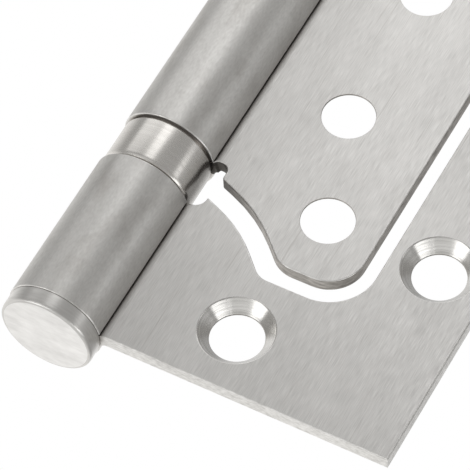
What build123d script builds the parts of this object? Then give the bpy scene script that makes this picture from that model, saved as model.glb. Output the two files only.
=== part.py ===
from build123d import *
from math import asin, cos, degrees, radians, sin, sqrt, tan
import os

# A flush, nested-leaf door hinge with two ball bearings, in brushed stainless steel.
# The hinge is closed. +Z runs up the pin, +X from the pin to the free edge of the leaves,
# +Y to the frame side. The origin is on the pin's axis at mid-height. Millimetres.

# ---- Driving dimensions ----
leaf_height = 100.0
frame_leaf_width = 42.2  # pin axis to the free edge
door_leaf_width = 28.0
sheet = 1.8  # thickness of both leaves
leaf_set_back = 0.2  # the sheet's middle plane lies this far to the -Y side of the pin
knuckle_radius = 6.0
curl_bend_radius = 1.0  # inside radius where a leaf bends up into its knuckle

end_knuckle_height = 20.6
bearing_gap = 6.4  # between an end knuckle and the middle knuckle

screw_hole_radius = 3.2
countersink_radius = 4.5
countersink_depth = 1.6
frame_hole_places = [(19.3, 42.4), (35.9, 24.7)]  # x, and the height above and below the middle
door_hole_places = [(21.5, 24.4), (16.8, 10.1)]

# The frame leaf's window, which takes the door leaf when the hinge is closed
window_side_x = 30.05
window_floor_height = 15.1  # above the leaf's bottom edge
window_floor_radius = 5.9
window_slope_x = 18.1  # where the floor meets the sloped edge
window_slope_radius = 2.5
window_slope_angle = 45.0
window_crest_x = 12.95  # where the slope meets the gentler edge beside the barrel
window_crest_radius = 18.0
window_crest_angle = 21.0
window_relief_x = 7.7  # the edge stops here, short of the barrel
window_relief_radius = 1.5

# The door leaf's outline, which follows the window
door_floor_height = 17.7
door_corner_radius = 4.5
door_slope_x = 19.3
door_slope_radius = 4.0
door_slope_angle = 44.0
door_crest_x = 13.5
door_crest_radius = 20.6
door_crest_angle = 20.5
door_relief_x = 7.9
door_relief_rise = 0.35  # the relief bites this far above the end of the middle knuckle
door_relief_radius = 1.05
door_nose_radius = 0.4
door_relief_inner_x = 6.4
door_relief_step = 0.3

pin_radius = 3.0
pin_chamfer = 0.5
running_fit = 0.05

cap_proud = 2.15
cap_radius = 5.85
cap_chamfer = 0.35
cap_spigot = 3.0

bush_end_play = 0.1  # a bush stops this far short of the race
middle_bush_length = 15.0

ball_radius = 1.5875 / 2  # sixteenth-inch balls
ball_count = 12
ball_ring_radius = 4.2
ball_clearance = 0.06
race_gap = 1.1
race_radius = 5.4
cage_thickness = 0.6
cage_inner_radius = 3.15
cage_outer_radius = 5.25
shell_radius = 5.75
shell_end_gap = 0.25
shell_lip_radius = 0.25

# ---- Worked out from them ----
top_z = leaf_height / 2
end_knuckle_z = top_z - end_knuckle_height  # inner end of an end knuckle, from mid-height
middle_knuckle_z = end_knuckle_z - bearing_gap  # end of the middle knuckle
bearing_z = (end_knuckle_z + middle_knuckle_z) / 2
front_y = -leaf_set_back - sheet / 2
back_y = front_y + sheet
bore_radius = knuckle_radius - sheet

# The bend's arc touches the knuckle's outer circle from outside.
bend_reach = knuckle_radius + curl_bend_radius
bend_y = back_y + curl_bend_radius
bend_x = sqrt(bend_reach**2 - bend_y**2)
bend_angle = degrees(asin(bend_y / bend_reach))
curl_end_angle = 360 + degrees(asin(front_y / knuckle_radius))

# Half the depth of a cutting prism: more than the hinge's own depth on either side
prism_depth = 2 * knuckle_radius

on_base = (Align.CENTER, Align.CENTER, Align.MIN)


def polar(radius, angle, centre=(0, 0)):
    """The point of a circle at an angle in degrees."""
    return centre[0] + radius * cos(radians(angle)), centre[1] + radius * sin(radians(angle))


def arc(radius, start, end, centre=(0, 0)):
    """An arc from one angle to another, in degrees."""
    middle = (start + end) / 2
    ThreePointArc(*[polar(radius, angle, centre) for angle in (start, middle, end)])


def curled_blank(width):
    """A leaf's sheet over its full height, flat, then bent back and curled round to its front."""
    bend = (bend_x, bend_y)
    with BuildSketch(Plane.XY.offset(-top_z)) as section:
        with BuildLine():
            Polyline((bend_x, back_y), (width, back_y), (width, front_y), (bend_x, front_y))
            arc(curl_bend_radius + sheet, 270, 180 + bend_angle, bend)
            arc(bore_radius, bend_angle, curl_end_angle)
            Line(polar(bore_radius, curl_end_angle), polar(knuckle_radius, curl_end_angle))
            arc(knuckle_radius, curl_end_angle, bend_angle)
            arc(curl_bend_radius, 180 + bend_angle, 270, bend)
        make_face()
    return extrude(section.sketch, leaf_height)


def mirrored_prism(lower_half):
    """A prism along Y whose outline is the same above and below mid-height.
    lower_half holds x, z and corner radius for each corner, in order."""
    corners = lower_half + [(x, -z, radius) for x, z, radius in reversed(lower_half)]
    upright = Plane(origin=(0, prism_depth, 0), x_dir=(1, 0, 0), z_dir=(0, -1, 0))
    face = make_face(Polyline(*[(x, z) for x, z, _ in corners], close=True))
    for x, z, radius in corners:
        if radius:
            face = fillet(face.vertices().sort_by_distance((x, z, 0))[0], radius)
    return extrude(upright * face, 2 * prism_depth)


def window_prism():
    """What the frame leaf's blank loses: the window, and the barrel between its knuckles."""
    floor_z = window_floor_height - top_z
    crest_z = floor_z + (window_slope_x - window_crest_x) * tan(radians(window_slope_angle))
    nose_z = crest_z + (window_crest_x - window_relief_x) * tan(radians(window_crest_angle))
    return mirrored_prism([
        (window_side_x, floor_z, window_floor_radius),
        (window_slope_x, floor_z, window_slope_radius),
        (window_crest_x, crest_z, window_crest_radius),
        (window_relief_x, nose_z, 0),
        (window_relief_x, -end_knuckle_z, window_relief_radius),
        (-prism_depth, -end_knuckle_z, 0),
    ])


def door_prism():
    """What the door leaf's blank keeps."""
    floor_z = door_floor_height - top_z
    crest_z = floor_z + (door_slope_x - door_crest_x) * tan(radians(door_slope_angle))
    nose_z = crest_z + (door_crest_x - door_relief_x) * tan(radians(door_crest_angle))
    relief_z = door_relief_rise - middle_knuckle_z
    return mirrored_prism([
        (door_leaf_width, floor_z, door_corner_radius),
        (door_slope_x, floor_z, door_slope_radius),
        (door_crest_x, crest_z, door_crest_radius),
        (door_relief_x, nose_z, door_nose_radius),
        (door_relief_x, relief_z, door_relief_radius),
        (door_relief_inner_x, relief_z, door_relief_step),
        (door_relief_inner_x - door_relief_step, -middle_knuckle_z, 0),
        (-prism_depth, -middle_knuckle_z, 0),
    ])


def screw_holes(places, mouth_y, inward):
    """Countersunk holes, sunk from the face at mouth_y. inward is 1 towards +Y, -1 towards -Y."""
    cutters = []
    for x, height in places:
        for z in (-height, height):
            mouth = Plane(origin=(x, mouth_y, z), x_dir=(1, 0, 0), z_dir=(0, inward, 0))
            cutters.append(mouth * Cylinder(screw_hole_radius, sheet, align=on_base))
            cone = Cone(countersink_radius, screw_hole_radius, countersink_depth, align=on_base)
            cutters.append(mouth * cone)
    return cutters


def ring(outer_radius, inner_radius, low_z, high_z):
    """A plain ring round the pin's axis."""
    height = high_z - low_z
    body = Cylinder(outer_radius, height, align=on_base)
    return Pos(0, 0, low_z) * (body - Cylinder(inner_radius, height, align=on_base))


def frame_leaf():
    """The wide leaf with both end knuckles, fixed to the door frame."""
    leaf = curled_blank(frame_leaf_width) - window_prism()
    return leaf - screw_holes(frame_hole_places, front_y, 1)


def door_leaf():
    """The leaf with the middle knuckle, fixed to the door's edge."""
    leaf = curled_blank(window_side_x) & door_prism()
    return leaf - screw_holes(door_hole_places, back_y, -1)


def hinge_pin():
    """The straight pin, held between the caps' spigots."""
    length = leaf_height - 2 * cap_spigot
    pin = Cylinder(pin_radius, length)
    return chamfer(pin.edges().filter_by(GeomType.CIRCLE), pin_chamfer)


def bottom_cap():
    """A button that closes the barrel, with a spigot pressed into the end knuckle."""
    button = Cylinder(cap_radius, cap_proud, align=on_base)
    rim = button.edges().filter_by(GeomType.CIRCLE).sort_by(Axis.Z)[0]
    button = chamfer(rim, cap_chamfer)
    spigot = Pos(0, 0, cap_proud) * Cylinder(bore_radius, cap_spigot, align=on_base)
    return Pos(0, 0, -top_z - cap_proud) * (button + spigot)


def bottom_bush():
    """Liner between the pin and the lower end knuckle."""
    low_z = cap_spigot - top_z
    return ring(bore_radius, pin_radius, low_z, -end_knuckle_z - bush_end_play)


def lower_middle_bush():
    """Liner pressed into the lower end of the middle knuckle. It turns on the pin."""
    low_z = bush_end_play - middle_knuckle_z
    return ring(bore_radius, pin_radius + running_fit, low_z, low_z + middle_bush_length)


def ball_groove():
    """The space that the balls roll through, with their clearance."""
    groove = Torus(ball_ring_radius, ball_radius + ball_clearance)
    return Pos(0, 0, -bearing_z) * groove


def bearing_frame_race():
    """Lower thrust race, standing still on the end knuckle."""
    race = ring(race_radius, pin_radius, -end_knuckle_z, -bearing_z - race_gap / 2)
    return race - ball_groove()


def bearing_door_race():
    """Upper thrust race, turning with the middle knuckle inside the shell."""
    radius = race_radius - running_fit
    bore = pin_radius + running_fit
    race = ring(radius, bore, -bearing_z + race_gap / 2, -middle_knuckle_z)
    return race - ball_groove()


def bearing_shell():
    """Polished sleeve round both races, gripping the frame race."""
    low_z = -end_knuckle_z + shell_end_gap
    high_z = -middle_knuckle_z - shell_end_gap
    shell = ring(shell_radius, race_radius, low_z, high_z)
    rims = shell.edges().filter_by(GeomType.CIRCLE).group_by(SortBy.RADIUS)[-1]
    return fillet(rims, shell_lip_radius)


def ball_places(radius, maker):
    """One shape at each ball's place round the pin."""
    places = PolarLocations(ball_ring_radius, ball_count)
    return [Pos(0, 0, -bearing_z) * place * maker(radius) for place in places]


def bearing_cage():
    """Flat ring that spaces the balls."""
    half = cage_thickness / 2
    cage = ring(cage_outer_radius, cage_inner_radius, -bearing_z - half, -bearing_z + half)
    return cage - ball_places(ball_radius + ball_clearance, lambda r: Cylinder(r, race_gap))


def bearing_balls():
    """Balls between the races, as separate solids."""
    return Compound(children=ball_places(ball_radius, Sphere))


def main():
    os.makedirs("parts", exist_ok=True)
    parts = {"frame_leaf": frame_leaf(), "door_leaf": door_leaf(), "hinge_pin": hinge_pin()}
    lower = {
        "bottom_cap": bottom_cap(),
        "bottom_bush": bottom_bush(),
        "lower_middle_bush": lower_middle_bush(),
        "lower_bearing_frame_race": bearing_frame_race(),
        "lower_bearing_door_race": bearing_door_race(),
        "lower_bearing_shell": bearing_shell(),
        "lower_bearing_cage": bearing_cage(),
        "lower_bearing_balls": bearing_balls(),
    }
    for name, shape in lower.items():
        parts[name] = shape
        upper_name = name.replace("bottom", "top").replace("lower", "upper")
        parts[upper_name] = mirror(shape, about=Plane.XY)
    for name, shape in parts.items():
        export_step(shape, f"parts/{name}.step")


main()
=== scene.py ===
import bpy
import math
from mathutils import Matrix, Vector
from mathutils.geometry import delaunay_2d_cdt


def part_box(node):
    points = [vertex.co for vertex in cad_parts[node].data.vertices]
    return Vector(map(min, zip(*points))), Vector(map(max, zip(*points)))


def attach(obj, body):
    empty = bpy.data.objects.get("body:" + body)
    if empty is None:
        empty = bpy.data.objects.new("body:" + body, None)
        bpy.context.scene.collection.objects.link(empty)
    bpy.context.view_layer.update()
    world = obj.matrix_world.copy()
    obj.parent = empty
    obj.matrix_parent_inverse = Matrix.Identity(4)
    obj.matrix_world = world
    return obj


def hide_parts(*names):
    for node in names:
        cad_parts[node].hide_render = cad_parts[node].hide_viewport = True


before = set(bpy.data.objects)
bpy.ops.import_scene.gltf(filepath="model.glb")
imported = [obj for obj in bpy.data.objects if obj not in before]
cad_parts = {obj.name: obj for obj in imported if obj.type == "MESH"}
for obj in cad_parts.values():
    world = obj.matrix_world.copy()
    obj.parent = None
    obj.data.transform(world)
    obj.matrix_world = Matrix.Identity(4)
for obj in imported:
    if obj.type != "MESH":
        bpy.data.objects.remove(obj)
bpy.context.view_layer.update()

# A closed flush hinge. Each leaf is made as the real one is: a flat blank is punched to its
# outline, then one edge is bent back and rolled into knuckles. Shapes are worked out in
# millimetres and turned to metres as each mesh is written.

MM = 0.001

# ---- Sizes read from the frame ----
frame_low, frame_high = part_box("frame_leaf")
_, door_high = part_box("door_leaf")
shell_low, shell_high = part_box("lower_bearing_shell")
cap_low, cap_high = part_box("bottom_cap")
TOP_Z = frame_high.z / MM
FRAME_WIDTH = frame_high.x / MM
DOOR_WIDTH = door_high.x / MM
KNUCKLE_R = -frame_low.x / MM
SHELL_R = shell_high.x / MM
SHELL_LOW_Z = shell_low.z / MM
SHELL_HIGH_Z = shell_high.z / MM
CAP_R = cap_high.x / MM
CAP_LOW_Z = cap_low.z / MM

# ---- The sheet, and how it is bent ----
SHEET = 1.8
FRONT_Y = -1.1
BEND_R = 1.0  # inside radius of the bend before the curl
MIDDLE_Y = FRONT_Y + SHEET / 2
BEND_Y = FRONT_Y + SHEET + BEND_R
BEND_X = math.sqrt((KNUCKLE_R + BEND_R) ** 2 - BEND_Y**2)
BEND_ANGLE = math.asin(BEND_Y / (KNUCKLE_R + BEND_R))
CURL_END_ANGLE = 2 * math.pi + math.asin(FRONT_Y / KNUCKLE_R)
BEND_MID_R = BEND_R + SHEET / 2
CURL_MID_R = KNUCKLE_R - SHEET / 2
CURL_START_S = BEND_X - BEND_MID_R * (math.pi / 2 - BEND_ANGLE)
CURL_END_S = CURL_START_S - CURL_MID_R * (CURL_END_ANGLE - BEND_ANGLE)

# ---- Outlines of the blanks ----
END_KNUCKLE_Z = 29.4  # inner end of an end knuckle, from mid-height
MIDDLE_KNUCKLE_Z = 23.0
RELIEF_TOP_Z = 22.65
HOLE_R = 3.2
SINK_R = 4.5
SINK_DEPTH = 1.6
HOLE_SOFT = 0.02  # unit of the rounding of a hole's edges
FRAME_HOLES = [(19.3, 42.4), (35.9, 24.7)]  # x, and the height above and below the middle
DOOR_HOLES = [(21.5, 24.4), (16.8, 10.1)]
EDGE_R = 0.16  # rounding of every cut edge
EDGE_STEPS = 3
QUARTER = math.pi / 2
ARC_STEP = math.radians(6)
CURL_STEPS = 90
BEND_STEPS = 10
ROW_STEP = 4.0  # spacing of cross rows along a knuckle
CORNER_GAP = 0.2  # columns stay this far from a corner of the outline
NEAR = 0.01  # two places this close count as the same
LEVEL = 1e-6  # an edge that rises less than this is level
MERGE = 1e-5  # points of a sheet's face closer than this are joined
HOLE_STEPS = 60
TURNED_STEPS = 128

WINDOW_LOWER = [(7.7, -END_KNUCKLE_Z, 1.5), (7.7, -27.75, 0), (12.95, -29.75, 18), (18.1, -34.9, 2.5),
                (30.05, -34.9, 5.9)]
DOOR_LOWER = [(6.1, -MIDDLE_KNUCKLE_Z, 0), (6.4, -RELIEF_TOP_Z, 0.3), (7.9, -RELIEF_TOP_Z, 1.05),
              (7.9, -24.61, 0.4), (13.5, -26.7, 20.6), (19.3, -32.3, 4.0), (DOOR_WIDTH, -32.3, 4.5)]


def rolled(s, n, z):
    """Where a point of the flat blank goes. s is along the sheet, n from its middle towards +Y."""
    if s >= BEND_X:
        return Vector((s, MIDDLE_Y + n, z))
    if s >= CURL_START_S:
        turn = (BEND_X - s) / BEND_MID_R
        radius = BEND_MID_R - n
        return Vector((BEND_X - radius * math.sin(turn), BEND_Y - radius * math.cos(turn), z))
    angle = BEND_ANGLE + (CURL_START_S - s) / CURL_MID_R
    radius = CURL_MID_R + n
    return Vector((radius * math.cos(angle), radius * math.sin(angle), z))


def directions(s):
    """Unit vectors along the sheet and through it, towards +Y where it is flat."""
    if s >= BEND_X:
        return Vector((1, 0, 0)), Vector((0, 1, 0))
    if s >= CURL_START_S:
        turn = (BEND_X - s) / BEND_MID_R
        return Vector((math.cos(turn), -math.sin(turn), 0)), Vector((math.sin(turn), math.cos(turn), 0))
    angle = BEND_ANGLE + (CURL_START_S - s) / CURL_MID_R
    return Vector((math.sin(angle), -math.cos(angle), 0)), Vector((math.cos(angle), math.sin(angle), 0))


def grid_columns():
    """Places along the sheet where its bent part needs an edge."""
    bend = [CURL_START_S + (BEND_X - CURL_START_S) * k / BEND_STEPS for k in range(1, BEND_STEPS + 1)]
    curl = CURL_START_S - CURL_END_S
    return [CURL_END_S + curl * k / CURL_STEPS for k in range(1, CURL_STEPS + 1)] + bend


COLUMNS = grid_columns()


def rounded(corners):
    """Points of a closed outline. Each corner is x, z and its radius."""
    points = []
    count = len(corners)
    for i, (x, z, radius) in enumerate(corners):
        here = Vector((x, z))
        if not radius:
            points.append(here)
            continue
        before = (Vector(corners[i - 1][:2]) - here).normalized()
        after = (Vector(corners[(i + 1) % count][:2]) - here).normalized()
        half = before.angle(after) / 2
        centre = here + (before + after).normalized() * radius / math.sin(half)
        start = here + before * radius / math.tan(half) - centre
        sweep = math.copysign(math.pi - 2 * half, after.cross(before))
        steps = max(2, math.ceil(abs(sweep) / ARC_STEP))
        for k in range(steps + 1):
            points.append(centre + Matrix.Rotation(sweep * k / steps, 2) @ start)
    return points


def with_columns(points):
    """Adds a point wherever a level edge of the outline crosses a grid column."""
    result = []
    for i, a in enumerate(points):
        b = points[(i + 1) % len(points)]
        result.append(a)
        if abs(a.y - b.y) < LEVEL and min(a.x, b.x) < BEND_X:
            low, high = sorted((a.x, b.x))
            between = [c for c in COLUMNS if low + CORNER_GAP < c < high - CORNER_GAP]
            if a.x > b.x:
                between.reverse()
            result += [Vector((c, a.y)) for c in between]
    return result


def inset(points, distance):
    """The outline moved inwards. It runs counter-clockwise."""
    moved = []
    count = len(points)
    for i, p in enumerate(points):
        to_here = (p - points[i - 1]).normalized()
        onward = (points[(i + 1) % count] - p).normalized()
        normal = Vector((-to_here.y - onward.y, to_here.x + onward.x)).normalized()
        moved.append(p + normal * distance / max(0.5, normal.dot(Vector((-onward.y, onward.x)))))
    return moved


def inside(point, loops):
    """Whether a point is within the outline and outside the holes."""
    crossings = 0
    x, y = point
    for loop in loops:
        for i, a in enumerate(loop):
            b = loop[i - 1]
            if (a.y > y) != (b.y > y) and x < a.x + (y - a.y) * (b.x - a.x) / (b.y - a.y):
                crossings += 1
    return crossings % 2 == 1


def circle(x, z, radius):
    """A hole's outline, counter-clockwise."""
    turns = [2 * math.pi * k / HOLE_STEPS for k in range(HOLE_STEPS)]
    return [Vector((x + radius * math.cos(turn), z + radius * math.sin(turn))) for turn in turns]


class MeshMaker:
    """Collects vertices, and faces with a material slot, brush coordinates and normals."""

    def __init__(self):
        self.vertices = []
        self.faces = []
        self.slots = []
        self.brush = []
        self.normals = []

    def add_vertices(self, points):
        first = len(self.vertices)
        self.vertices += [p * MM for p in points]
        return list(range(first, first + len(points)))

    def add_face(self, corners, slot, brush, normals):
        self.faces.append(corners)
        self.slots.append(slot)
        self.brush.append(brush)
        self.normals.append(normals)

    def strip(self, rings, along, across, slots, starts, ends):
        """Quads between two closed rings. Brush U is across them and V along them. Each ring has
        a normal for the start and for the end of each of its edges."""
        (ring_a, ring_b), (across_a, across_b) = rings, across
        count = len(ring_a)
        for i in range(count):
            j = (i + 1) % count
            brush = [(across_a, along[i]), (across_a, along[i + 1]),
                     (across_b, along[i + 1]), (across_b, along[i])]
            normals = [starts[0][i], ends[0][i], ends[1][i], starts[1][i]]
            self.add_face([ring_a[i], ring_a[j], ring_b[j], ring_b[i]], slots[i], brush, normals)

    def finish(self, name, materials):
        mesh = bpy.data.meshes.new(name)
        mesh.from_pydata(self.vertices, [], self.faces)
        layer = mesh.uv_layers.new(name="Brush")
        layer.data.foreach_set("uv", [value for face in self.brush for corner in face for value in corner])
        mesh.polygons.foreach_set("material_index", self.slots)
        mesh.polygons.foreach_set("use_smooth", [True] * len(self.faces))
        for material in materials:
            mesh.materials.append(material)
        mesh.normals_split_custom_set([normal for face in self.normals for normal in face])
        piece = bpy.data.objects.new(name, mesh)
        bpy.context.scene.collection.objects.link(piece)
        return piece


def lengths(points):
    """Running length round a closed loop, with the closing length last."""
    total = [0.0]
    for i, p in enumerate(points):
        total.append(total[-1] + (points[(i + 1) % len(points)] - p).length)
    return total


def sheet_cap(maker, loops, ring_ids, n, knuckles):
    """One face of the sheet: triangles over the outline, with columns where it is bent."""
    front = n < 0
    flat = [p for loop in loops for p in loop]
    ids = [i for ring in ring_ids for i in ring]
    edges = []
    start = 0
    for loop in loops:
        edges += [(start + k, start + (k + 1) % len(loop)) for k in range(len(loop))]
        start += len(loop)
    for low, high in knuckles:
        ends = {}
        for index, p in enumerate(loops[0]):
            if p.x < BEND_X and (abs(p.y - low) < 2 * EDGE_R or abs(p.y - high) < 2 * EDGE_R):
                ends[(round(p.x, 3), p.y > (low + high) / 2)] = index
        rows = max(2, round((high - low) / ROW_STEP))
        for column in COLUMNS:
            chain = []
            for k in range(1, rows):
                z = low + (high - low) * k / rows
                chain.append(len(flat))
                flat.append(Vector((column, z)))
                ids.append(maker.add_vertices([rolled(column, n, z)])[0])
            if (round(column, 3), False) in ends:
                chain.insert(0, ends[(round(column, 3), False)])
            if (round(column, 3), True) in ends:
                chain.append(ends[(round(column, 3), True)])
            edges += list(zip(chain, chain[1:]))
    made, _, triangles, origins, _, _ = delaunay_2d_cdt(flat, edges, [], 0, MERGE, True)
    source = [o[0] if o else None for o in origins]
    for triangle in triangles:
        middle = sum((made[v] for v in triangle), Vector((0, 0))) / 3
        if not inside(middle, loops):
            continue
        order = list(triangle)
        turned_over = (made[order[1]] - made[order[0]]).cross(made[order[2]] - made[order[0]]) < 0
        if turned_over == front:
            order.reverse()
        corners = [ids[source[v]] for v in order]
        brush = [(made[v].x, made[v].y) for v in order]
        normals = [directions(made[v].x)[1] * (-1 if front else 1) for v in order]
        maker.add_face(corners, FACE if middle.x > CURL_START_S else KNUCKLE, brush, normals)


FACE, TRIMMED, PUNCHED, SINK, KNUCKLE = range(5)  # material slots of a leaf
SHARP = math.radians(25)  # neighbouring surfaces that turn by more than this meet at an edge


def wall_slot(a, b):
    """A straight outer edge or the end of a knuckle is trimmed. The rest is punched. The trimmed slot
    carries a lighter colour, a painted highlight, and the punched slot a darker one, painted shade.
    """
    middle = (a + b) / 2
    outer = middle.x > FRAME_WIDTH - NEAR or abs(middle.y) > TOP_Z - NEAR or middle.x < CURL_START_S
    return TRIMMED if outer else PUNCHED


def wall_normals(outline):
    """Outward directions at the start and the end of each edge, shared along smooth stretches."""
    own = []
    for i, a in enumerate(outline):
        run = (outline[(i + 1) % len(outline)] - a).normalized()
        own.append(Vector((run.y, -run.x)))
    starts, ends = [], []
    for i, normal in enumerate(own):
        before, after = own[i - 1], own[(i + 1) % len(own)]
        starts.append((normal + before).normalized() if normal.angle(before) < SHARP else normal)
        ends.append((normal + after).normalized() if normal.angle(after) < SHARP else normal)
    return starts, ends


def edge_normals(walls, places, side, turn):
    """Directions square to the rounded edge, where it has turned from the sheet's face by an angle."""
    normals = []
    for wall, place in zip(walls, places):
        along, through = directions(place.x)
        sideways = along * wall.x + Vector((0, 0, wall.y))
        normals.append(sideways * math.sin(turn) + through * side * math.cos(turn))
    return normals


def outline_walls(maker, corners):
    """The cut edge all round, with rounded corners. Returns the rings that the faces start from."""
    half = SHEET / 2
    outline = with_columns(rounded(corners))
    count = len(outline)
    running = lengths(outline)
    wall_starts, wall_ends = wall_normals(outline)
    slots = [wall_slot(p, outline[(i + 1) % count]) for i, p in enumerate(outline)]
    rings = []
    for side in (-1, 1):
        for k in range(EDGE_STEPS + 1):
            turn = QUARTER * (k if side < 0 else EDGE_STEPS - k) / EDGE_STEPS
            n = side * (half - EDGE_R * (1 - math.cos(turn)))
            loop = inset(outline, EDGE_R * (1 - math.sin(turn))) if turn < QUARTER else outline
            starts = edge_normals(wall_starts, loop, side, turn)
            ends = edge_normals(wall_ends, loop[1:] + loop[:1], side, turn)
            ids = maker.add_vertices([rolled(p.x, n, p.y) for p in loop])
            rings.append((loop, ids, n, starts, ends))
    for index, (a, b) in enumerate(zip(rings, rings[1:])):
        # The outer part of the front rounding always takes the trimmed slot, whose lighter colour paints a
        # highlight along every front edge.
        strip_slots = [TRIMMED] * count if index < 2 else slots
        maker.strip((b[1], a[1]), running, (b[2], a[2]), strip_slots, (b[3], a[3]), (b[4], a[4]))
    return rings[0], rings[-1]


def screw_hole(maker, x, z, mouth):
    """A countersunk hole. The mouth is at -1, the front, or 1, the back. Returns its end rings."""
    half = SHEET / 2
    root = half - SINK_DEPTH
    profile = [(SINK_R + 4 * HOLE_SOFT, half), (SINK_R + HOLE_SOFT, half - HOLE_SOFT),
               (SINK_R - 2.5 * HOLE_SOFT, half - 4 * HOLE_SOFT),
               (HOLE_R + HOLE_SOFT, root + 1.5 * HOLE_SOFT), (HOLE_R, root - 1.5 * HOLE_SOFT),
               (HOLE_R, 2.5 * HOLE_SOFT - half), (HOLE_R + 2 * HOLE_SOFT, -half)]
    rings = []
    for radius, depth in profile:
        loop = circle(x, z, radius)
        rings.append((loop, maker.add_vertices([rolled(p.x, mouth * depth, p.y) for p in loop])))
    count = len(rings[0][0])
    around = [2 * math.pi * SINK_R * k / count for k in range(count + 1)]
    for index, (a, b) in enumerate(zip(rings, rings[1:])):
        rise = (Vector(profile[index + 1]) - Vector(profile[index])).normalized()
        normals = []
        for p in a[0] + a[0][:1]:
            outward = (p - Vector((x, z))).normalized()
            normals.append(Vector((outward.x * rise.y, -mouth * rise.x, outward.y * rise.y)))
        slots = [SINK if index < 3 else PUNCHED] * count
        depths = (-profile[index][0], -profile[index + 1][0])
        starts, ends = (normals[:-1],) * 2, (normals[1:],) * 2
        if mouth < 0:
            maker.strip((a[1], b[1]), around, depths, slots, starts, ends)
        else:
            maker.strip((b[1], a[1]), around, depths[::-1], slots, starts, ends)
    return (rings[0], rings[-1]) if mouth < 0 else (rings[-1], rings[0])


def leaf(name, corners, holes, mouth, knuckles, materials):
    """A punched, deburred and rolled leaf."""
    maker = MeshMaker()
    front, back = outline_walls(maker, corners)
    front_loops, front_ids = [front[0]], [front[1]]
    back_loops, back_ids = [back[0]], [back[1]]
    for x, height in holes:
        for z in (-height, height):
            front, back = screw_hole(maker, x, z, mouth)
            front_loops.append(front[0])
            front_ids.append(front[1])
            back_loops.append(back[0])
            back_ids.append(back[1])
    sheet_cap(maker, front_loops, front_ids, -SHEET / 2, knuckles)
    sheet_cap(maker, back_loops, back_ids, SHEET / 2, knuckles)
    return maker.finish(name, materials)


def turned(name, profile, materials, mirrored=False, closed=True):
    """A piece turned round the pin's axis. The profile is radius, z and slot, counter-clockwise with
    the axis on the left. An open one starts and ends on the axis."""
    maker = MeshMaker()
    sign = -1 if mirrored else 1
    turns = [2 * math.pi * k / TURNED_STEPS for k in range(TURNED_STEPS)]
    rings = []
    length = [0.0]
    for index, (radius, z, slot) in enumerate(profile):
        if index:
            length.append(length[-1] + math.dist((radius, z), profile[index - 1][:2]))
        points = [Vector((radius * math.cos(turn), radius * math.sin(turn), z * sign)) for turn in turns]
        rings.append(maker.add_vertices(points[:1] if radius == 0 else points))
    spans = [(i, i + 1) for i in range(len(profile) - 1)]
    if closed:
        spans.append((len(profile) - 1, 0))
    own = []
    for i, j in spans:
        run = (Vector(profile[j][:2]) - Vector(profile[i][:2])).normalized()
        own.append(Vector((run.y, -run.x)))
    for index, (i, j) in enumerate(spans):
        normal = own[index]
        before, after = own[index - 1], own[(index + 1) % len(own)]
        first = (normal + before).normalized() if normal.angle(before) < SHARP else normal
        last = (normal + after).normalized() if normal.angle(after) < SHARP else normal
        a, b = rings[i], rings[j]
        length_b = length[j] if j else length[-1] + 1
        for k in range(TURNED_STEPS):
            k_next = (k + 1) % TURNED_STEPS
            along = [2 * math.pi * KNUCKLE_R * m / TURNED_STEPS for m in (k, k + 1)]
            corners = [a[k % len(a)], a[k_next % len(a)], b[k_next % len(b)], b[k % len(b)]]
            brush = [(length[i], along[0]), (length[i], along[1]),
                     (length_b, along[1]), (length_b, along[0])]
            normals = []
            here, onward = turns[k], turns[k_next]
            for flat, turn in ((first, here), (first, onward), (last, onward), (last, here)):
                normals.append(Vector((flat.x * math.cos(turn), flat.x * math.sin(turn), flat.y * sign)))
            missing = 1 if len(a) == 1 else 2 if len(b) == 1 else None
            if missing:
                del corners[missing], brush[missing], normals[missing]
            if mirrored:
                corners.reverse()
                brush.reverse()
                normals.reverse()
            maker.add_face(corners, profile[i][2], brush, normals)
    return maker.finish(name, materials)


# ---- Materials ----
def new_material(name):
    material = bpy.data.materials.new(name)
    material.use_nodes = True
    return material, material.node_tree, material.node_tree.nodes["Principled BSDF"]


def noise(tree, vector, scale, detail=4.0, seed=0.0):
    """Noise stretched by a scale for each direction."""
    mapping = tree.nodes.new("ShaderNodeMapping")
    mapping.inputs["Scale"].default_value = scale
    mapping.inputs["Location"].default_value = (seed, 2 * seed, 3 * seed)
    tree.links.new(vector, mapping.inputs["Vector"])
    texture = tree.nodes.new("ShaderNodeTexNoise")
    texture.inputs["Scale"].default_value = 1.0
    texture.inputs["Detail"].default_value = detail
    tree.links.new(mapping.outputs["Vector"], texture.inputs["Vector"])
    return texture.outputs["Fac"]


def spread(tree, value, low, high, from_low=0.25, from_high=0.75):
    node = tree.nodes.new("ShaderNodeMapRange")
    node.inputs["From Min"].default_value = from_low
    node.inputs["From Max"].default_value = from_high
    node.inputs["To Min"].default_value = low
    node.inputs["To Max"].default_value = high
    tree.links.new(value, node.inputs["Value"])
    return node.outputs["Result"]


def combine(tree, operation, a, b):
    node = tree.nodes.new("ShaderNodeMath")
    node.operation = operation
    for socket, value in zip(node.inputs, (a, b)):
        if isinstance(value, (int, float)):
            socket.default_value = value
        else:
            tree.links.new(value, socket)
    return node.outputs["Value"]


def brush_coordinates(tree):
    node = tree.nodes.new("ShaderNodeUVMap")
    node.uv_map = "Brush"
    return node.outputs["UV"]


def brush_tangent(tree, shader):
    node = tree.nodes.new("ShaderNodeTangent")
    node.direction_type = "UV_MAP"
    node.uv_map = "Brush"
    tree.links.new(node.outputs["Tangent"], shader.inputs["Tangent"])


def tint(tree, value, dark, light):
    """A colour between two, by a value from 0 to 1."""
    node = tree.nodes.new("ShaderNodeMix")
    node.data_type = "RGBA"
    node.inputs["A"].default_value = (*dark, 1)
    node.inputs["B"].default_value = (*light, 1)
    tree.links.new(value, node.inputs["Factor"])
    return node.outputs["Result"]


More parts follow.
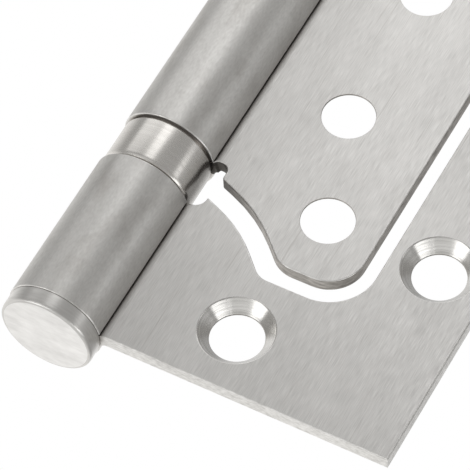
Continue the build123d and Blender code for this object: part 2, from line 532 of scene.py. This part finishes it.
def add_bump(tree, shader, height, distance):
    node = tree.nodes.new("ShaderNodeBump")
    node.inputs["Distance"].default_value = distance
    node.inputs["Strength"].default_value = 1.0
    tree.links.new(height, node.inputs["Height"])
    tree.links.new(node.outputs["Normal"], shader.inputs["Normal"])


RECESS_SHADE_REACH = 4.0  # how far from a neighbouring surface a recess still gets painted shade
RECESS_SHADE_OPENNESS = (0.15, 0.65)  # painted shade is full below the first and absent above the second
PATCHES = 0.22  # weight of the broad cloudiness in each finish
PATCH_SCALE = (0.22, 0.06, 0.1)
SCRATCH_SCALE = (4.0, 0.05, 1)
SMUDGE_SCALE = (0.45, 0.14, 0.3)
STREAK_SEED, PATCH_SEED, SCRATCH_SEED, SMUDGE_SEED = 7.0, 3.0, 11.0, 17.0
# Colour of the scratches and smudges, and of the painted shade in recesses.
STAIN_AND_SHADE = (0.22, 0.19, 0.165)
# Colour of the painted shade along one side of a piece.
SIDE_SHADE_COLOUR = (0.05, 0.045, 0.04)


def millimetres(tree):
    """A point's place in the shared frame, in millimetres."""
    scaled = tree.nodes.new("ShaderNodeVectorMath")
    scaled.operation = "SCALE"
    scaled.inputs["Scale"].default_value = 1 / MM
    tree.links.new(tree.nodes.new("ShaderNodeTexCoord").outputs["Object"], scaled.inputs["Vector"])
    return scaled.outputs["Vector"]


def stain_and_shade(tree, colour, amount, dark_colour):
    """A colour darkened by an amount from 0 to 1, for real scratches and smudges and for painted shade."""
    node = tree.nodes.new("ShaderNodeMix")
    node.data_type = "RGBA"
    tree.links.new(amount, node.inputs["Factor"])
    tree.links.new(colour, node.inputs["A"])
    node.inputs["B"].default_value = (*dark_colour, 1)
    return node.outputs["Result"]


def brushed(name, dark, light, rough, anisotropic, across=6.0, along=0.3, bump=0.003, streaks=0.3,
            contrast=0.15, recess_shade=0.9, scratches=0.0, smudges=0.0, smeared=False):
    """Steel brushed along V of its brush coordinates, or smeared, with no direction."""
    material, tree, shader = new_material(name)
    place = millimetres(tree) if smeared else brush_coordinates(tree)
    hair = noise(tree, place, (across, along, along), 3.0)
    streak = noise(tree, place, (across / 3, along / 3, along / 3), 3.0, STREAK_SEED)
    patch = noise(tree, place, PATCH_SCALE, 2.0, PATCH_SEED)
    fine = combine(tree, "MULTIPLY", hair, 1 - PATCHES - streaks)
    coarse = combine(tree, "MULTIPLY", streak, streaks)
    cloudy = combine(tree, "MULTIPLY", patch, PATCHES)
    mixed = combine(tree, "ADD", combine(tree, "ADD", fine, coarse), cloudy)
    low, high = 0.5 - contrast, 0.5 + contrast
    colour = tint(tree, spread(tree, mixed, 0, 1, low, high), dark, light)
    if scratches:
        line = noise(tree, place, SCRATCH_SCALE, 1.0, SCRATCH_SEED)
        colour = stain_and_shade(tree, colour, spread(tree, line, 0, scratches, 0.66, 0.76), STAIN_AND_SHADE)
    if smudges:
        blot = noise(tree, place, SMUDGE_SCALE, 5.0, SMUDGE_SEED)
        colour = stain_and_shade(tree, colour, spread(tree, blot, 0, smudges, 0.5, 0.72), STAIN_AND_SHADE)
    # Painted shade: the colour is darkened where ambient occlusion finds neighbouring surfaces close by, in
    # recesses, creases and gaps between parts.
    openness = tree.nodes.new("ShaderNodeAmbientOcclusion")
    openness.samples = 8
    openness.inputs["Distance"].default_value = RECESS_SHADE_REACH * MM
    painted_recess_shade = spread(tree, openness.outputs["AO"], recess_shade, 0, *RECESS_SHADE_OPENNESS)
    colour = stain_and_shade(tree, colour, painted_recess_shade, STAIN_AND_SHADE)
    tree.links.new(colour, shader.inputs["Base Color"])
    tree.links.new(spread(tree, mixed, rough + 0.05, rough - 0.05, low, high), shader.inputs["Roughness"])
    add_bump(tree, shader, combine(tree, "ADD", hair, streak), bump * MM)
    shader.inputs["Metallic"].default_value = 1.0
    shader.inputs["Anisotropic"].default_value = anisotropic
    if anisotropic:
        brush_tangent(tree, shader)
    return material


def add_side_shade(material, start, end, amount):
    """Paints shade on a material: darkens it by an amount that grows from one place along X to another."""
    tree = material.node_tree
    shader = tree.nodes["Principled BSDF"]
    colour = shader.inputs["Base Color"].links[0].from_socket
    split = tree.nodes.new("ShaderNodeSeparateXYZ")
    tree.links.new(millimetres(tree), split.inputs["Vector"])
    painted_side_shade = spread(tree, split.outputs["X"], 0, amount, start, end)
    tree.links.new(stain_and_shade(tree, colour, painted_side_shade, SIDE_SHADE_COLOUR), shader.inputs["Base Color"])


FACE_HUE = (1.0, 0.985, 0.96)
FACE_CONTRAST = 0.06  # a face's darkest and lightest are this far from its shade


def leaf_face(name, shade):
    """The brushed face of a leaf."""
    dark = [(shade - FACE_CONTRAST) * c for c in FACE_HUE]
    light = [(shade + FACE_CONTRAST) * c for c in FACE_HUE]
    return brushed(name, dark, light, 0.36, 0.6, across=10, along=0.5, streaks=0.08,
                   scratches=0.2, smudges=0.05)


frame_face = leaf_face("brushed_stainless_frame", 0.605)
door_face = leaf_face("brushed_stainless_door", 0.62)
# Painted shade on the leaf faces, growing towards the seam with the barrel.
add_side_shade(door_face, 17, 6.5, 0.12)
add_side_shade(frame_face, 17, 6.5, 0.06)
steel_knuckle = brushed("rolled_stainless", (0.60, 0.59, 0.57), (0.70, 0.69, 0.67), 0.38, 0.5,
                        across=5, along=1.6, streaks=0.2, smudges=0.26)
# The trimmed edges and edge roundings are painted lighter than the faces: a painted highlight along the
# edges.
steel_edge_painted_light = brushed("trimmed_edge_painted_light", (0.56, 0.55, 0.53), (0.88, 0.87, 0.85), 0.33, 0.2,
                     across=5, along=1.6, bump=0.01, recess_shade=0.95)
# The punched walls are the same steel as the trimmed edges, painted far darker: painted shade.
steel_punched_painted_shade = brushed("punched_edge_painted_shade", (0.24, 0.225, 0.21), (0.60, 0.575, 0.54), 0.45, 0.2,
                        across=3, along=0.8)
# Painted shade on the punched walls, growing towards the barrel, in the notch and the bend.
add_side_shade(steel_punched_painted_shade, 17, 8, 0.85)
steel_sink = brushed("turned_countersink", (0.62, 0.61, 0.59), (0.90, 0.89, 0.87), 0.2, 0.5,
                     across=7, along=0.2)
steel_shell = brushed("polished_stainless", (0.66, 0.64, 0.61), (0.80, 0.78, 0.75), 0.27, 0.5,
                      across=6, along=0.2, bump=0.0015, contrast=0.25, recess_shade=0.4)
# Painted shade on the ring's side that faces the leaves.
add_side_shade(steel_shell, 4.6, 5.9, 0.5)
steel_cap = brushed("cap_face", (0.80, 0.79, 0.775), (0.95, 0.94, 0.925), 0.42, 0.0,
                    across=0.7, along=1.6, streaks=0.4, smeared=True)
steel_rim = brushed("satin_stainless", (0.60, 0.59, 0.57), (0.74, 0.73, 0.71), 0.33, 0.3,
                    across=4, along=0.5)
shared_materials = [steel_edge_painted_light, steel_punched_painted_shade, steel_sink, steel_knuckle]

# ---- The leaves ----
half_window = [(x, -z, r) for x, z, r in WINDOW_LOWER]
frame_outline = [(CURL_END_S, -TOP_Z, 0), (FRAME_WIDTH, -TOP_Z, 0), (FRAME_WIDTH, TOP_Z, 0),
                 (CURL_END_S, TOP_Z, 0), (CURL_END_S, END_KNUCKLE_Z, 0), *half_window,
                 *reversed(WINDOW_LOWER), (CURL_END_S, -END_KNUCKLE_Z, 0)]
half_door = [(x, -z, r) for x, z, r in reversed(DOOR_LOWER)]
door_outline = [(CURL_END_S, -MIDDLE_KNUCKLE_Z, 0), *DOOR_LOWER, *half_door,
                (CURL_END_S, MIDDLE_KNUCKLE_Z, 0)]

frame_sheet = leaf("frame_leaf_sheet", frame_outline, FRAME_HOLES, -1,
                   [(-TOP_Z, -END_KNUCKLE_Z), (END_KNUCKLE_Z, TOP_Z)], [frame_face, *shared_materials])
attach(frame_sheet, "frame_leaf")
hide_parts("frame_leaf")
door_sheet = leaf("door_leaf_sheet", door_outline, DOOR_HOLES, 1,
                  [(-MIDDLE_KNUCKLE_Z, MIDDLE_KNUCKLE_Z)], [door_face, *shared_materials])
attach(door_sheet, "door_leaf")
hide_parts("door_leaf")

# ---- Bearing shells and caps ----
SHELL_BORE_R = 5.4
LIP_WIDTH = 0.33  # the shell's ends are rounded this far across its wall
LOWER_LIP = 0.6  # and this far along the axis
UPPER_LIP = 0.35
CAP_EDGE_R = 0.4
CAP_BACK_EDGE = 0.05
LIP_STEPS = 6


def lip(centre_r, centre_z, wide, tall, start, slot):
    """A quarter of an ellipse in a turned profile, from a start angle in degrees."""
    points = []
    for k in range(LIP_STEPS + 1):
        angle = math.radians(start + 90 * k / LIP_STEPS)
        points.append((centre_r + wide * math.cos(angle), centre_z + tall * math.sin(angle), slot))
    return points


shell_profile = [(SHELL_BORE_R, SHELL_LOW_Z, 0),
                 *lip(SHELL_R - LIP_WIDTH, SHELL_LOW_Z + LOWER_LIP, LIP_WIDTH, LOWER_LIP, -90, 0),
                 *lip(SHELL_R - LIP_WIDTH, SHELL_HIGH_Z - UPPER_LIP, LIP_WIDTH, UPPER_LIP, 0, 0),
                 (SHELL_BORE_R, SHELL_HIGH_Z, 0)]
cap_profile = [(0, CAP_LOW_Z, 0), (CAP_R - CAP_EDGE_R - NEAR, CAP_LOW_Z, 1),
               *lip(CAP_R - CAP_EDGE_R, CAP_LOW_Z + CAP_EDGE_R, CAP_EDGE_R, CAP_EDGE_R, -90, 1),
               (CAP_R, -TOP_Z - CAP_BACK_EDGE, 1), (CAP_R - CAP_BACK_EDGE, -TOP_Z, 1), (0, -TOP_Z, 1)]
for side, mirrored in (("lower", False), ("upper", True)):
    shell = turned(f"{side}_shell_ring", shell_profile, [steel_shell], mirrored)
    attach(shell, "frame_leaf")
    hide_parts(f"{side}_bearing_shell")
for side, mirrored in (("bottom", False), ("top", True)):
    cap = turned(f"{side}_cap_button", cap_profile, [steel_cap, steel_rim], mirrored, closed=False)
    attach(cap, "frame_leaf")
    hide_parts(f"{side}_cap")

# ---- Hidden pieces, which keep their CAD shapes ----
turned_steel = brushed("turned_steel", (0.55, 0.54, 0.53), (0.72, 0.71, 0.70), 0.25, 0.0,
                       across=1.0, along=6.0, bump=0.002, smeared=True)
ball_steel = brushed("ball_steel", (0.70, 0.70, 0.71), (0.78, 0.78, 0.79), 0.10, 0.0,
                     across=2.0, along=2.0, bump=0.0005, smeared=True)


def nylon_material():
    """Natural nylon: cream, slightly waxy, with a faint moulded grain."""
    material, tree, shader = new_material("nylon")
    grain = noise(tree, millimetres(tree), (3, 3, 3))
    colour = tint(tree, spread(tree, grain, 0, 1), (0.70, 0.67, 0.58), (0.80, 0.77, 0.68))
    tree.links.new(colour, shader.inputs["Base Color"])
    tree.links.new(spread(tree, grain, 0.42, 0.52), shader.inputs["Roughness"])
    shader.inputs["Subsurface Weight"].default_value = 0.1
    add_bump(tree, shader, grain, 0.01 * MM)
    return material


nylon = nylon_material()
hidden = {"hinge_pin": turned_steel, "bottom_bush": nylon, "top_bush": nylon}
for side in ("lower", "upper"):
    hidden[f"{side}_middle_bush"] = nylon
    hidden[f"{side}_bearing_cage"] = nylon
    hidden[f"{side}_bearing_frame_race"] = turned_steel
    hidden[f"{side}_bearing_door_race"] = turned_steel
    hidden[f"{side}_bearing_balls"] = ball_steel
for node, material in hidden.items():
    for place in bpy.data.objects[node].material_slots:
        place.material = material

# ---- Camera ----
TARGET = Vector((12.64, -0.2, -30.43)) * MM
DISTANCE = 479.8 * MM
AZIMUTH = math.radians(19.906)
ELEVATION = math.radians(-29.618)
ROLL = math.radians(-32.892)
LENS = 321.19

camera_data = bpy.data.cameras.new("camera")
camera_data.lens = LENS
camera_data.sensor_width = 36
camera_data.clip_start = 0.01
camera_data.clip_end = 20
camera = bpy.data.objects.new("camera", camera_data)
bpy.context.scene.collection.objects.link(camera)
bpy.context.scene.camera = camera
outward = Vector((math.sin(AZIMUTH), -math.cos(AZIMUTH), 0))
away = outward * math.cos(ELEVATION) + Vector((0, 0, math.sin(ELEVATION)))
level = Vector((math.cos(AZIMUTH), math.sin(AZIMUTH), 0))
upright = away.cross(level)
right = level * math.cos(ROLL) - upright * math.sin(ROLL)
up = away.cross(right)
camera.matrix_world = Matrix((right, up, away)).transposed().to_4x4()
camera.location = TARGET + away * DISTANCE

# ---- Floor and light ----
scene = bpy.context.scene
scene.view_settings.view_transform = "Standard"

FLOOR_Z = -1.5
FLOOR_HALF = 1.6
floor_mesh = bpy.data.meshes.new("floor")
floor_corners = [(x * FLOOR_HALF, y * FLOOR_HALF, FLOOR_Z) for x, y in ((-1, -1), (1, -1), (1, 1), (-1, 1))]
floor_mesh.from_pydata(floor_corners, [], [(0, 1, 2, 3)])
floor = bpy.data.objects.new("floor", floor_mesh)
scene.collection.objects.link(floor)
floor_material, _, floor_shader = new_material("pale_floor")
floor_shader.inputs["Base Color"].default_value = (0.88, 0.88, 0.87, 1)
floor_shader.inputs["Roughness"].default_value = 0.8
floor_shader.inputs["Emission Color"].default_value = (1, 1, 1, 1)
floor_shader.inputs["Emission Strength"].default_value = 0.25
floor_mesh.materials.append(floor_material)

ROOM_FRONT = 0.40  # radiance of the room on the far side from the screen
ROOM_BACK = 1.02  # radiance of the white screen
SCREEN_SIDE = (-0.6, 0.75, -0.28)
SCREEN_EDGE = (0.35, 0.75)  # where the screen begins, and where it is full
world = bpy.data.worlds.new("studio")
scene.world = world
world.use_nodes = True
world_tree = world.node_tree
direction = world_tree.nodes.new("ShaderNodeTexCoord").outputs["Generated"]
facing = world_tree.nodes.new("ShaderNodeVectorMath")
facing.operation = "DOT_PRODUCT"
facing.inputs[1].default_value = SCREEN_SIDE
world_tree.links.new(direction, facing.inputs[0])
surround = world_tree.nodes.new("ShaderNodeBackground")
surround.inputs["Color"].default_value = (1.0, 0.992, 0.978, 1)
screen = spread(world_tree, facing.outputs["Value"], ROOM_FRONT, ROOM_BACK, *SCREEN_EDGE)
world_tree.links.new(screen, surround.inputs["Strength"])
backdrop = world_tree.nodes["Background"]
backdrop.inputs["Color"].default_value = (1, 1, 1, 1)
ray = world_tree.nodes.new("ShaderNodeLightPath")
chosen = world_tree.nodes.new("ShaderNodeMixShader")
world_tree.links.new(ray.outputs["Is Camera Ray"], chosen.inputs["Fac"])
world_tree.links.new(surround.outputs["Background"], chosen.inputs[1])
world_tree.links.new(backdrop.outputs["Background"], chosen.inputs[2])
world_tree.links.new(chosen.outputs["Shader"], world_tree.nodes["World Output"].inputs["Surface"])


def softbox(name, azimuth, elevation, wide, tall, radiance, distance=1.2):
    """A rectangular light that faces the hinge. Angles are in degrees, azimuth from +X towards +Y."""
    data = bpy.data.lights.new(name, "AREA")
    data.shape = "RECTANGLE"
    data.size = 2 * distance * math.tan(math.radians(wide / 2))
    data.size_y = 2 * distance * math.tan(math.radians(tall / 2))
    data.energy = radiance * math.pi * data.size * data.size_y
    light = bpy.data.objects.new(name, data)
    turn, lift = math.radians(azimuth), math.radians(elevation)
    towards = Vector((math.cos(turn) * math.cos(lift), math.sin(turn) * math.cos(lift), math.sin(lift)))
    light.location = towards * distance
    light.rotation_euler = towards.to_track_quat("Z", "Y").to_euler()
    scene.collection.objects.link(light)


softbox("key_softbox", -122, 46, 66, 44, 0.54, 0.25)
softbox("key_left", -142, 34, 28, 40, 0.16)
softbox("key_centre", -98, 34, 19, 40, 0.60)
softbox("side_strip", -22, 24, 12, 24, 0.70)
softbox("edge_panel", 78, 30, 30, 50, 0.40)
softbox("front_low", -115, -18, 60, 26, 0.30)
softbox("low_side", -12, -24, 22, 46, 1.4)
softbox("low_fill", -140, -54, 44, 26, 1.1)
